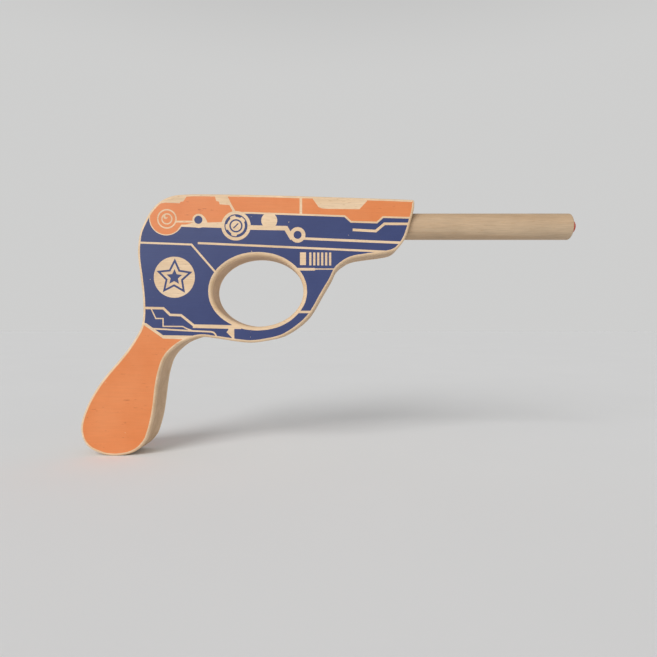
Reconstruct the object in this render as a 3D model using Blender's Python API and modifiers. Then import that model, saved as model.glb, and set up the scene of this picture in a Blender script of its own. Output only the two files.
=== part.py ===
"""Wooden toy pop pistol: a pull-and-push air gun with a printed, laminated wooden body.

Run it with `blender --background --python part.py`, or from Blender's text editor.
Units are metres, +Z is up, +X points to the muzzle and the printed left face looks to -Y.
The origin is the centre of the toy's bounding box. Every named mesh is one sub-part, in its
place with the barrel pushed home; `cutters` holds the tools that the Boolean modifiers use.
"""

import math

import bmesh
import bpy
from mathutils import Vector

MM = 0.001
GAP = 0.3 * MM  # left between two glued or touching faces
PLAY = 0.1 * MM  # round a pin, peg, screw or ring in its hole or groove
WELD = 0.001 * MM  # points closer than this are merged

# Body: a core between two side panels, all cut to one outline.
BODY_THICKNESS = 21.0 * MM
CORE_THICKNESS = 15.0 * MM
ROUND_OVER = 1.6 * MM  # radius along both rims of the body and of the finger hole

# Outline of the body, in millimetres (x, z), from the top of the nose round by the grip.
OUTLINE_MM = (
    (43.6, 69.0), (19.3, 69.9), (-41.5, 71.7), (-73.0, 72.1), (-82.0, 71.9), (-87.4, 71.3),
    (-92.2, 69.6), (-96.2, 67.0), (-100.2, 62.6), (-103.2, 57.3), (-105.9, 51.0), (-107.1, 42.5),
    (-106.9, 36.0), (-105.6, 26.0), (-104.2, 11.0), (-105.0, 0.0), (-109.2, -8.4),
    (-115.2, -16.8), (-127.2, -31.2), (-135.0, -44.5), (-138.5, -56.5), (-135.6, -66.0),
    (-127.2, -71.0), (-118.0, -72.1), (-109.0, -70.0), (-103.0, -64.5), (-100.3, -58.0),
    (-98.2, -49.0), (-95.6, -30.0), (-93.2, -21.0), (-90.7, -16.6), (-87.0, -12.8),
    (-81.8, -9.3), (-73.0, -6.7), (-63.4, -7.5), (-52.3, -9.2), (-44.5, -9.8), (-36.5, -8.9),
    (-28.0, -6.8), (-20.5, -2.5), (-14.1, 2.8), (-10.4, 7.7), (-5.2, 16.8), (-0.3, 25.2),
    (2.3, 30.5), (5.9, 33.8), (11.0, 36.5), (19.2, 38.0), (27.6, 39.1), (34.3, 40.8),
    (38.6, 45.0), (41.2, 49.8), (43.2, 56.5), (44.9, 62.8), (45.35, 66.0), (45.0, 68.4),
)
OUTLINE_STEPS = 5  # chords between two outline points
RIM_STEPS = 2  # how finely the rims are rounded

# Finger hole: an ellipse through the whole body.
HOLE_CENTRE = Vector((-41.0, 0.0, 18.5)) * MM
HOLE_HALF_WIDTH = 25.1 * MM
HOLE_HALF_HEIGHT = 19.5 * MM
HOLE_POINTS = 24

# Barrel: a bored dowel that slides along +X in the core's channel.
BARREL_AXIS_Z = 56.0 * MM
BARREL_RADIUS = 7.4 * MM
BORE_RADIUS = 5.3 * MM
MUZZLE_X = 135.0 * MM
BARREL_TAIL_X = -44.5 * MM
MUZZLE_CHAMFER = 0.8 * MM
BARREL_TRAVEL = 45.0 * MM

# Channel in the core, closed at the back and open at the nose.
CHANNEL_HALF_HEIGHT = BARREL_RADIUS + GAP
CHANNEL_BACK_X = -49.0 * MM
NOSE_CLEAR_X = 60.0 * MM  # past the nose, so that the channel is open in front
GROOVE_WIDTH = 4.6 * MM  # slots above and below the barrel in which the stop pegs run
GROOVE_DEPTH = 2.6 * MM

# Stop pegs: stub dowels in the barrel wall that end the travel at the front of the grooves.
PEG_X = -38.0 * MM
PEG_RADIUS = 2.0 * MM
PEG_STAND = 2.2 * MM  # how far a peg stands out of the barrel
PEG_SET = 1.6 * MM  # how deep it is set into the barrel wall
SOCKET_REACH = 10.0 * MM  # the socket's drill starts this far out, clear of the barrel
GROOVE_FRONT_X = PEG_X + PEG_RADIUS + BARREL_TRAVEL + GAP

# Felt ring at the back of the channel, which the barrel's tail meets when it is pushed home.
BUFFER_THICKNESS = BARREL_TAIL_X - CHANNEL_BACK_X - 2 * GAP
BUFFER_RADIUS = 7.2 * MM
BUFFER_PLAY = 0.4 * MM  # round the rod

# Fixed piston on a long rod inside the bore.
ROD_RADIUS = 3.0 * MM
ROD_CLEARANCE = 0.25 * MM
ROD_HOLE_OVERRUN = 5.0 * MM  # the rod hole's drill starts this far inside the channel
ROD_BACK_X = -68.0 * MM
HEAD_RADIUS = 5.0 * MM
HEAD_BACK_X = 113.0 * MM
HEAD_LENGTH = 8.0 * MM
SEAL_SECTION = 0.9 * MM  # radius of the seal ring's round section
SEAL_OUTER = 5.2 * MM
WASHER_RADIUS = 3.8 * MM
WASHER_THICKNESS = 0.8 * MM
SCREW_SHANK_RADIUS = 1.1 * MM
SCREW_SHANK_LENGTH = 15.0 * MM
SCREW_TIP_LENGTH = 1.5 * MM
SCREW_PLAY = 0.15 * MM  # round the shank in the piston head and the washer
SCREW_HEAD_RADIUS = 2.4 * MM
SCREW_HEAD_HEIGHT = 1.7 * MM
CROSS_PIN_RADIUS = 1.5 * MM
CROSS_PIN_X = -59.0 * MM

# Dowels that line the three layers up while the glue sets; blind in both panels.
DOWEL_RADIUS = 2.5 * MM
DOWEL_INTO_PANEL = 1.4 * MM
DOWEL_PLACES_MM = ((-94.0, 46.0), (-3.0, 38.5), (-86.0, 6.0), (-119.0, -52.0))

# Ball in the muzzle.
BALL_RADIUS = 5.15 * MM
BALL_FRONT_X = 138.5 * MM
BALL_X = BALL_FRONT_X - BALL_RADIUS

ROUND_FACETS = 48
SMALL_FACETS = 32
BALL_RINGS = 24
SEAL_FACETS = 12  # round the seal ring's section

COLOURS = {
    "printed_beech": ((0.74, 0.56, 0.36), 0.55, 0.0),
    "bare_beech": ((0.72, 0.54, 0.34), 0.60, 0.0),
    "barrel_wood": ((0.66, 0.50, 0.33), 0.60, 0.0),
    "dowel_wood": ((0.70, 0.53, 0.34), 0.65, 0.0),
    "felt": ((0.16, 0.17, 0.18), 0.95, 0.0),
    "nylon": ((0.86, 0.85, 0.80), 0.40, 0.0),
    "seal_rubber": ((0.03, 0.03, 0.03), 0.55, 0.0),
    "zinc_steel": ((0.70, 0.71, 0.72), 0.35, 1.0),
    "ball_foam": ((0.80, 0.13, 0.05), 0.70, 0.0),
}


def clear_scene():
    for item in list(bpy.data.objects):
        bpy.data.objects.remove(item, do_unlink=True)


def new_collection(name):
    collection = bpy.data.collections.new(name)
    bpy.context.scene.collection.children.link(collection)
    return collection


clear_scene()
TOY = new_collection("pop_pistol")
CUTTERS = new_collection("cutters")


def make_material(name):
    colour, roughness, metallic = COLOURS[name]
    material = bpy.data.materials.new(name)
    material.use_nodes = True
    shader = material.node_tree.nodes["Principled BSDF"]
    shader.inputs["Base Color"].default_value = (*colour, 1.0)
    shader.inputs["Roughness"].default_value = roughness
    shader.inputs["Metallic"].default_value = metallic
    return material


MATERIALS = {name: make_material(name) for name in COLOURS}


def place(thing, collection):
    """Move an object out of the scene's own collection into one of the script's."""
    for holder in list(thing.users_collection):
        holder.objects.unlink(thing)
    collection.objects.link(thing)


def as_part(thing, name, material):
    thing.name = name
    thing.data.name = name
    thing.data.materials.clear()
    thing.data.materials.append(MATERIALS[material])
    place(thing, TOY)
    return thing


def as_cutter(thing, name):
    thing.name = name
    thing.hide_render = True
    thing.display_type = "WIRE"
    place(thing, CUTTERS)
    return thing


def box(low, high):
    """Box between two corners."""
    low, high = Vector(low), Vector(high)
    bpy.ops.mesh.primitive_cube_add(size=1.0, location=(low + high) / 2)
    thing = bpy.context.object
    thing.scale = high - low
    return thing


def cylinder(start, end, radius, facets=SMALL_FACETS):
    """Cylinder from one point to another."""
    start, end = Vector(start), Vector(end)
    run = end - start
    bpy.ops.mesh.primitive_cylinder_add(
        radius=radius, depth=run.length, vertices=facets, location=(start + end) / 2
    )
    thing = bpy.context.object
    thing.rotation_euler = run.to_track_quat("Z", "Y").to_euler()
    return thing


def turned(profile, facets=ROUND_FACETS):
    """Closed profile of (along, radius) points turned about the barrel's axis with a Screw modifier."""
    mesh = bpy.data.meshes.new("profile")
    points = [(radius, 0.0, along) for along, radius in profile]
    edges = [(i, (i + 1) % len(points)) for i in range(len(points))]
    on_axis = [i for i, (_, radius) in enumerate(profile) if radius == 0.0]
    if on_axis:
        edges.remove((on_axis[-1], on_axis[0]))
    mesh.from_pydata(points, edges, [])
    thing = bpy.data.objects.new("turned", mesh)
    bpy.context.scene.collection.objects.link(thing)
    screw = thing.modifiers.new("turn", "SCREW")
    screw.axis = "Z"
    screw.steps = screw.render_steps = facets
    screw.use_merge_vertices = True
    screw.merge_threshold = WELD
    screw.use_normal_flip = True
    thing.location = (0.0, 0.0, BARREL_AXIS_Z)
    thing.rotation_euler = (0.0, math.pi / 2, 0.0)
    return thing


def cut(thing, cutter, operation="DIFFERENCE"):
    modifier = thing.modifiers.new(cutter.name, "BOOLEAN")
    modifier.operation = operation
    modifier.solver = "EXACT"
    modifier.object = cutter
    return thing


def smooth_knots(points):
    """Bezier (knot, left handle, right handle) through a closed row of points.

    The tangent at a knot is parallel to the chord between its neighbours, and each handle is
    a third of the way to the neighbour on its side.
    """
    knots = []
    for i, point in enumerate(points):
        before, after = points[i - 1], points[(i + 1) % len(points)]
        tangent = (after - before).normalized()
        left = point - tangent * (point - before).length / 3
        right = point + tangent * (after - point).length / 3
        knots.append((point, left, right))
    return knots


def add_spline(curve, points):
    spline = curve.splines.new("BEZIER")
    spline.use_cyclic_u = True
    spline.bezier_points.add(len(points) - 1)
    for bezier, (point, left, right) in zip(spline.bezier_points, smooth_knots(points)):
        bezier.handle_left_type = bezier.handle_right_type = "FREE"
        bezier.co = point
        bezier.handle_left = left
        bezier.handle_right = right


def body_blank():
    """The whole body as one board: outline and finger hole, with both rims rounded over."""
    curve = bpy.data.curves.new("body_blank", "CURVE")
    curve.dimensions = "2D"
    curve.fill_mode = "BOTH"
    curve.resolution_u = OUTLINE_STEPS
    curve.extrude = BODY_THICKNESS / 2 - ROUND_OVER
    curve.bevel_depth = ROUND_OVER
    curve.bevel_resolution = RIM_STEPS
    curve.offset = -ROUND_OVER
    add_spline(curve, [Vector((x, z, 0.0)) * MM for x, z in OUTLINE_MM])
    hole = []
    for i in range(HOLE_POINTS):
        turn = 2 * math.pi * i / HOLE_POINTS
        along = HOLE_CENTRE.x + HOLE_HALF_WIDTH * math.cos(turn)
        up = HOLE_CENTRE.z + HOLE_HALF_HEIGHT * math.sin(turn)
        hole.append(Vector((along, up, 0.0)))
    add_spline(curve, hole)
    drawing = bpy.data.objects.new("body_blank", curve)
    bpy.context.scene.collection.objects.link(drawing)
    bpy.context.view_layer.update()
    mesh = bpy.data.meshes.new_from_object(drawing)
    bpy.data.objects.remove(drawing, do_unlink=True)
    shape = bmesh.new()
    shape.from_mesh(mesh)
    bmesh.ops.remove_doubles(shape, verts=shape.verts, dist=WELD)
    bmesh.ops.recalc_face_normals(shape, faces=shape.faces)
    shape.to_mesh(mesh)
    shape.free()
    return mesh


def body_layer(blank, low_y, high_y):
    """One layer of the laminated body: the blank kept between two depths."""
    layer = bpy.data.objects.new("layer", blank.copy())
    bpy.context.scene.collection.objects.link(layer)
    layer.rotation_euler = (math.pi / 2, 0.0, 0.0)
    reach = 0.2
    slab = as_cutter(box((-reach, low_y, -reach), (reach, high_y, reach)), "layer_slab")
    return cut(layer, slab, "INTERSECT")


def dowel_hole(x_mm, z_mm, half_length):
    start = (x_mm * MM, -half_length, z_mm * MM)
    end = (x_mm * MM, half_length, z_mm * MM)
    return as_cutter(cylinder(start, end, DOWEL_RADIUS + PLAY), "dowel_hole")


def body():
    """Core and side panels, cut from one blank, with the dowels that line them up."""
    blank = body_blank()
    half, core_half = BODY_THICKNESS / 2, CORE_THICKNESS / 2
    panel_inside = core_half + GAP
    over = 1.0 * MM  # a slab reaches past the outer face
    left = as_part(body_layer(blank, -half - over, -panel_inside), "left_side_panel", "printed_beech")
    right = as_part(body_layer(blank, panel_inside, half + over), "right_side_panel", "printed_beech")
    core = as_part(body_layer(blank, -core_half, core_half), "core_frame", "bare_beech")
    dowel_end = panel_inside + DOWEL_INTO_PANEL
    hole_end = dowel_end + GAP
    for number, (x_mm, z_mm) in enumerate(DOWEL_PLACES_MM, start=1):
        drill = dowel_hole(x_mm, z_mm, hole_end)
        for layer in (left, right, core):
            cut(layer, drill)
        peg = cylinder(
            (x_mm * MM, -dowel_end, z_mm * MM), (x_mm * MM, dowel_end, z_mm * MM), DOWEL_RADIUS
        )
        as_part(peg, f"alignment_dowel_{number}", "dowel_wood")
    return core


def barrel_channel(core):
    """Slot for the barrel, grooves for the stop pegs, and the rod's blind hole with its pin hole."""
    past = CORE_THICKNESS  # a cutter reaches this far past the core's faces
    low, high = BARREL_AXIS_Z - CHANNEL_HALF_HEIGHT, BARREL_AXIS_Z + CHANNEL_HALF_HEIGHT
    slot = box((CHANNEL_BACK_X, -past, low), (NOSE_CLEAR_X, past, high))
    cut(core, as_cutter(slot, "channel_slot"))
    groove = box(
        (CHANNEL_BACK_X, -GROOVE_WIDTH / 2, low - GROOVE_DEPTH),
        (GROOVE_FRONT_X, GROOVE_WIDTH / 2, high + GROOVE_DEPTH),
    )
    cut(core, as_cutter(groove, "peg_groove"))
    rod_hole = cylinder(
        (ROD_BACK_X - GAP, 0.0, BARREL_AXIS_Z),
        (CHANNEL_BACK_X + ROD_HOLE_OVERRUN, 0.0, BARREL_AXIS_Z),
        ROD_RADIUS + ROD_CLEARANCE,
    )
    cut(core, as_cutter(rod_hole, "rod_hole"))
    pin_hole = cylinder(
        (CROSS_PIN_X, -past, BARREL_AXIS_Z),
        (CROSS_PIN_X, past, BARREL_AXIS_Z),
        CROSS_PIN_RADIUS + PLAY,
    )
    return cut(core, as_cutter(pin_hole, "pin_hole"))


def barrel():
    """Bored dowel with its two stop pegs set in blind sockets in the wall."""
    profile = (
        (BARREL_TAIL_X, BORE_RADIUS),
        (BARREL_TAIL_X, BARREL_RADIUS),
        (MUZZLE_X - MUZZLE_CHAMFER, BARREL_RADIUS),
        (MUZZLE_X, BARREL_RADIUS - MUZZLE_CHAMFER),
        (MUZZLE_X, BORE_RADIUS),
    )
    tube = as_part(turned(profile), "barrel_tube", "barrel_wood")
    for side, name in ((1, "upper"), (-1, "lower")):
        foot = BARREL_AXIS_Z + side * (BARREL_RADIUS - PEG_SET)
        socket = cylinder(
            (PEG_X, 0.0, foot - side * PLAY),
            (PEG_X, 0.0, foot + side * SOCKET_REACH),
            PEG_RADIUS + PLAY,
        )
        cut(tube, as_cutter(socket, f"peg_socket_{name}"))
        top = BARREL_AXIS_Z + side * (BARREL_RADIUS + PEG_STAND)
        peg = cylinder((PEG_X, 0.0, foot), (PEG_X, 0.0, top), PEG_RADIUS)
        as_part(peg, f"stop_peg_{name}", "dowel_wood")


def piston_rod():
    """Long dowel fixed in the core, drilled across for its pin and along for the piston's screw."""
    rod = cylinder((ROD_BACK_X, 0.0, BARREL_AXIS_Z), (HEAD_BACK_X - GAP, 0.0, BARREL_AXIS_Z), ROD_RADIUS)
    as_part(rod, "piston_rod", "dowel_wood")
    reach = 2 * ROD_RADIUS
    pin_hole = cylinder(
        (CROSS_PIN_X, -reach, BARREL_AXIS_Z),
        (CROSS_PIN_X, reach, BARREL_AXIS_Z),
        CROSS_PIN_RADIUS + PLAY,
    )
    cut(rod, as_cutter(pin_hole, "rod_pin_hole"))
    screw_end = screw_head_back() - SCREW_SHANK_LENGTH
    screw_hole = cylinder(
        (screw_end - GAP, 0.0, BARREL_AXIS_Z),
        (HEAD_BACK_X, 0.0, BARREL_AXIS_Z),
        SCREW_SHANK_RADIUS + PLAY,
    )
    cut(rod, as_cutter(screw_hole, "rod_screw_hole"))
    half = CORE_THICKNESS / 2 - GAP
    pin = cylinder(
        (CROSS_PIN_X, -half, BARREL_AXIS_Z), (CROSS_PIN_X, half, BARREL_AXIS_Z), CROSS_PIN_RADIUS
    )
    as_part(pin, "rod_cross_pin", "zinc_steel")


def screw_head_back():
    """Where the underside of the screw's head sits along the barrel."""
    return HEAD_BACK_X + HEAD_LENGTH + GAP + WASHER_THICKNESS + GAP


def piston():
    """Turned piston head with a seal ring in its groove, held to the rod by a screw and washer."""
    hole = SCREW_SHANK_RADIUS + SCREW_PLAY
    middle = HEAD_BACK_X + HEAD_LENGTH / 2
    groove_half = SEAL_SECTION + PLAY
    groove_floor = SEAL_OUTER - 2 * SEAL_SECTION - PLAY
    head_profile = (
        (HEAD_BACK_X, hole),
        (HEAD_BACK_X, HEAD_RADIUS),
        (middle - groove_half, HEAD_RADIUS),
        (middle - groove_half, groove_floor),
        (middle + groove_half, groove_floor),
        (middle + groove_half, HEAD_RADIUS),
        (HEAD_BACK_X + HEAD_LENGTH, HEAD_RADIUS),
        (HEAD_BACK_X + HEAD_LENGTH, hole),
    )
    as_part(turned(head_profile), "piston_head", "nylon")
    ring_radius = SEAL_OUTER - SEAL_SECTION
    ring_profile = []
    for i in range(SEAL_FACETS):
        turn = 2 * math.pi * i / SEAL_FACETS
        along = middle + SEAL_SECTION * math.sin(turn)
        ring_profile.append((along, ring_radius + SEAL_SECTION * math.cos(turn)))
    as_part(turned(ring_profile), "piston_seal", "seal_rubber")
    washer_back = HEAD_BACK_X + HEAD_LENGTH + GAP
    washer_profile = (
        (washer_back, hole),
        (washer_back, WASHER_RADIUS),
        (washer_back + WASHER_THICKNESS, WASHER_RADIUS),
        (washer_back + WASHER_THICKNESS, hole),
    )
    as_part(turned(washer_profile, SMALL_FACETS), "piston_washer", "zinc_steel")
    under = screw_head_back()
    tip = under - SCREW_SHANK_LENGTH
    screw_profile = (
        (tip, 0.0),
        (tip + SCREW_TIP_LENGTH, SCREW_SHANK_RADIUS),
        (under, SCREW_SHANK_RADIUS),
        (under, SCREW_HEAD_RADIUS),
        (under + 0.5 * SCREW_HEAD_HEIGHT, 0.92 * SCREW_HEAD_RADIUS),
        (under + SCREW_HEAD_HEIGHT, 0.5 * SCREW_HEAD_RADIUS),
        (under + SCREW_HEAD_HEIGHT, 0.0),
    )
    as_part(turned(screw_profile, SMALL_FACETS), "piston_screw", "zinc_steel")


def rear_buffer():
    back = CHANNEL_BACK_X + GAP
    hole = ROD_RADIUS + BUFFER_PLAY
    profile = (
        (back, hole),
        (back, BUFFER_RADIUS),
        (back + BUFFER_THICKNESS, BUFFER_RADIUS),
        (back + BUFFER_THICKNESS, hole),
    )
    as_part(turned(profile), "rear_buffer", "felt")


def ball():
    bpy.ops.mesh.primitive_uv_sphere_add(
        segments=ROUND_FACETS,
        ring_count=BALL_RINGS,
        radius=BALL_RADIUS,
        location=(BALL_X, 0.0, BARREL_AXIS_Z),
    )
    as_part(bpy.context.object, "foam_ball", "ball_foam")


barrel_channel(body())
barrel()
piston_rod()
piston()
rear_buffer()
ball()
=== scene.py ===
"""Looks of the wooden toy pop pistol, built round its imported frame. Metres, +X to the muzzle, +Z up."""

import math

import bpy
import numpy as np
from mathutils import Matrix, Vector
from mathutils.geometry import delaunay_2d_cdt


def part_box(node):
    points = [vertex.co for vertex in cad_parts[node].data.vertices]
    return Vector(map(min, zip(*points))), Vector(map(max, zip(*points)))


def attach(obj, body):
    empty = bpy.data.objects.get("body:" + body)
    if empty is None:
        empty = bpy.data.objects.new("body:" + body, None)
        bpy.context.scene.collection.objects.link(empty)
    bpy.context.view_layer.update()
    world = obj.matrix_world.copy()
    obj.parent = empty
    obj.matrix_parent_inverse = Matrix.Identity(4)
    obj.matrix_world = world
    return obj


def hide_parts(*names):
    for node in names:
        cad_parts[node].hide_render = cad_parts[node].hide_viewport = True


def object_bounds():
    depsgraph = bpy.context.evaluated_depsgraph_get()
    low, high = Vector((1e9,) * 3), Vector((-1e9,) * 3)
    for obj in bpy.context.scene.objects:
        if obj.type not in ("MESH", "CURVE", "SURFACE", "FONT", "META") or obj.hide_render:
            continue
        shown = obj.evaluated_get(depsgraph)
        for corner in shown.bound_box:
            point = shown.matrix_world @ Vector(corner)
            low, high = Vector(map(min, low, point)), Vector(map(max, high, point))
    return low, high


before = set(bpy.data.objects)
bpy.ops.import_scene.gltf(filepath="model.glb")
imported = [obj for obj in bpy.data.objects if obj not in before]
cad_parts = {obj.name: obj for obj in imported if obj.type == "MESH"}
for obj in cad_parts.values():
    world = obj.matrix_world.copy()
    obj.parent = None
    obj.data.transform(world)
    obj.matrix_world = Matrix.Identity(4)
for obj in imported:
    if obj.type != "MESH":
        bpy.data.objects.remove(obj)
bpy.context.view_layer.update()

# ------------------------------
# Camera
# Square on to the printed face, a short reading distance away, with the whole toy in view.
# The lens follows from that distance and from how wide a strip of the face it takes in.
# ------------------------------

MM = 0.001
FACE_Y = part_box("left_side_panel")[0][1]
CAMERA_DISTANCE = 285 * MM
FRAME_WIDTH_AT_FACE = 361.4 * MM

camera_data = bpy.data.cameras.new("camera")
camera_data.sensor_width = 36.0
camera_data.lens = camera_data.sensor_width * CAMERA_DISTANCE / FRAME_WIDTH_AT_FACE
camera_data.clip_start = 0.01
camera = bpy.data.objects.new("camera", camera_data)
camera.location = (-2 * MM, FACE_Y - CAMERA_DISTANCE, -2 * MM)
camera.rotation_euler = (math.pi / 2, 0, 0)
bpy.context.scene.collection.objects.link(camera)
bpy.context.scene.camera = camera

# ------------------------------
# Bare beech
# Sanded beech with its pinkish tan ground, short dark ray flecks and fine fibres, used for
# the rims, the core, the barrel and the dowels. The grain runs along the board, on X.
# ------------------------------


def from_srgb(red, green, blue):
    """Linear colour of an 8-bit screen colour, by the sRGB curve: a straight foot, then a power."""
    channel = np.array([red, green, blue]) / 255.0
    linear = np.where(channel <= 0.04045, channel / 12.92, ((channel + 0.055) / 1.055) ** 2.4)
    return (*(float(value) for value in linear), 1.0)


def cleared_tree(owner):
    """Nodes and links of a material or a world, emptied of the nodes that it starts with."""
    owner.use_nodes = True
    owner.node_tree.nodes.clear()
    return owner.node_tree.nodes, owner.node_tree.links


def new_surface(name, body_label):
    """A new material with only its output, its shader and the coordinates of the piece."""
    material = bpy.data.materials.new(name)
    nodes, links = cleared_tree(material)
    output = nodes.new("ShaderNodeOutputMaterial")
    output.label = "Finished surface"
    output.location = (1500, 0)
    shader = nodes.new("ShaderNodeBsdfPrincipled")
    shader.label = body_label
    shader.location = (1200, 0)
    place = nodes.new("ShaderNodeTexCoord")
    place.label = "Place on the piece"
    place.location = (-1500, 0)
    links.new(shader.outputs["BSDF"], output.inputs["Surface"])
    return material, nodes, links, shader, place


def add_fibres(nodes, links, place, stretch, detail, shade):
    """Fibres: streaks along X, as their noise and as a colour scaled between the two shades."""
    group = nodes.new("NodeFrame")
    group.label = "Fibres: hair-fine streaks along the board"
    fibre_stretch = nodes.new("ShaderNodeMapping")
    fibre_stretch.label = "Streaks about twenty times longer than wide"
    fibre_stretch.inputs["Scale"].default_value = stretch
    fibre_noise = nodes.new("ShaderNodeTexNoise")
    fibre_noise.label = "Fibre streaks"
    fibre_noise.inputs["Scale"].default_value = 1.0
    fibre_noise.inputs["Detail"].default_value = detail
    fibre_shade = nodes.new("ShaderNodeMapRange")
    fibre_shade.label = "Fibre shade"
    fibre_shade.inputs["From Min"].default_value = 0.3
    fibre_shade.inputs["From Max"].default_value = 0.7
    fibre_shade.inputs["To Min"].default_value = shade[0]
    fibre_shade.inputs["To Max"].default_value = shade[1]
    fibre_colour = nodes.new("ShaderNodeVectorMath")
    fibre_colour.label = "Streak the colour"
    fibre_colour.operation = "SCALE"
    for node, x, y in (
        (fibre_stretch, -1200, 0), (fibre_noise, -1000, 0), (fibre_shade, -800, 0),
        (fibre_colour, -400, 200),
    ):
        node.parent = group
        node.location = (x, y)
    links.new(place.outputs["Object"], fibre_stretch.inputs["Vector"])
    links.new(fibre_stretch.outputs["Vector"], fibre_noise.inputs["Vector"])
    links.new(fibre_noise.outputs["Fac"], fibre_shade.inputs["Value"])
    links.new(fibre_shade.outputs["Result"], fibre_colour.inputs["Scale"])
    return fibre_noise, fibre_colour


def add_flecks(nodes, links, place, tilt, stretch, detail, limits, share, fleck):
    """Ray flecks: dashes where the noise passes between two limits, mixed in up to a share."""
    group = nodes.new("NodeFrame")
    group.label = "Ray flecks: short dark dashes"
    fleck_stretch = nodes.new("ShaderNodeMapping")
    fleck_stretch.label = "Dashes a few millimetres long"
    fleck_stretch.inputs["Rotation"].default_value = (0.0, tilt, 0.0)
    fleck_stretch.inputs["Scale"].default_value = stretch
    fleck_noise = nodes.new("ShaderNodeTexNoise")
    fleck_noise.label = "Fleck places"
    fleck_noise.inputs["Scale"].default_value = 1.0
    fleck_noise.inputs["Detail"].default_value = detail
    fleck_mask = nodes.new("ShaderNodeMapRange")
    fleck_mask.label = "Keep the darkest dashes"
    fleck_mask.inputs["From Min"].default_value = limits[0]
    fleck_mask.inputs["From Max"].default_value = limits[1]
    fleck_mask.inputs["To Max"].default_value = share
    fleck_mix = nodes.new("ShaderNodeMix")
    fleck_mix.label = "Fleck colour"
    fleck_mix.data_type = "RGBA"
    fleck_mix.inputs["B"].default_value = fleck
    for node, x, y in (
        (fleck_stretch, -1200, -400), (fleck_noise, -1000, -400), (fleck_mask, -800, -400),
        (fleck_mix, 0, 100),
    ):
        node.parent = group
        node.location = (x, y)
    links.new(place.outputs["Object"], fleck_stretch.inputs["Vector"])
    links.new(fleck_stretch.outputs["Vector"], fleck_noise.inputs["Vector"])
    links.new(fleck_noise.outputs["Fac"], fleck_mask.inputs["Value"])
    links.new(fleck_mask.outputs["Result"], fleck_mix.inputs["Factor"])
    return fleck_mix


def add_feel(nodes, links, shader, worn_by, roughness, raised_by, strength, depth):
    """Feel: roughness between two limits, from one texture, and a relief from another."""
    group = nodes.new("NodeFrame")
    group.label = "Feel: roughness and relief"
    rough_range = nodes.new("ShaderNodeMapRange")
    rough_range.label = "Roughness from the texture"
    rough_range.inputs["To Min"].default_value = roughness[0]
    rough_range.inputs["To Max"].default_value = roughness[1]
    relief = nodes.new("ShaderNodeBump")
    relief.label = "Relief of the texture"
    relief.inputs["Strength"].default_value = strength
    relief.inputs["Distance"].default_value = depth
    for node, x, y in ((rough_range, 600, -300), (relief, 600, -600)):
        node.parent = group
        node.location = (x, y)
    links.new(worn_by.outputs["Fac"], rough_range.inputs["Value"])
    links.new(rough_range.outputs["Result"], shader.inputs["Roughness"])
    links.new(raised_by.outputs["Fac"], relief.inputs["Height"])
    links.new(relief.outputs["Normal"], shader.inputs["Normal"])


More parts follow.
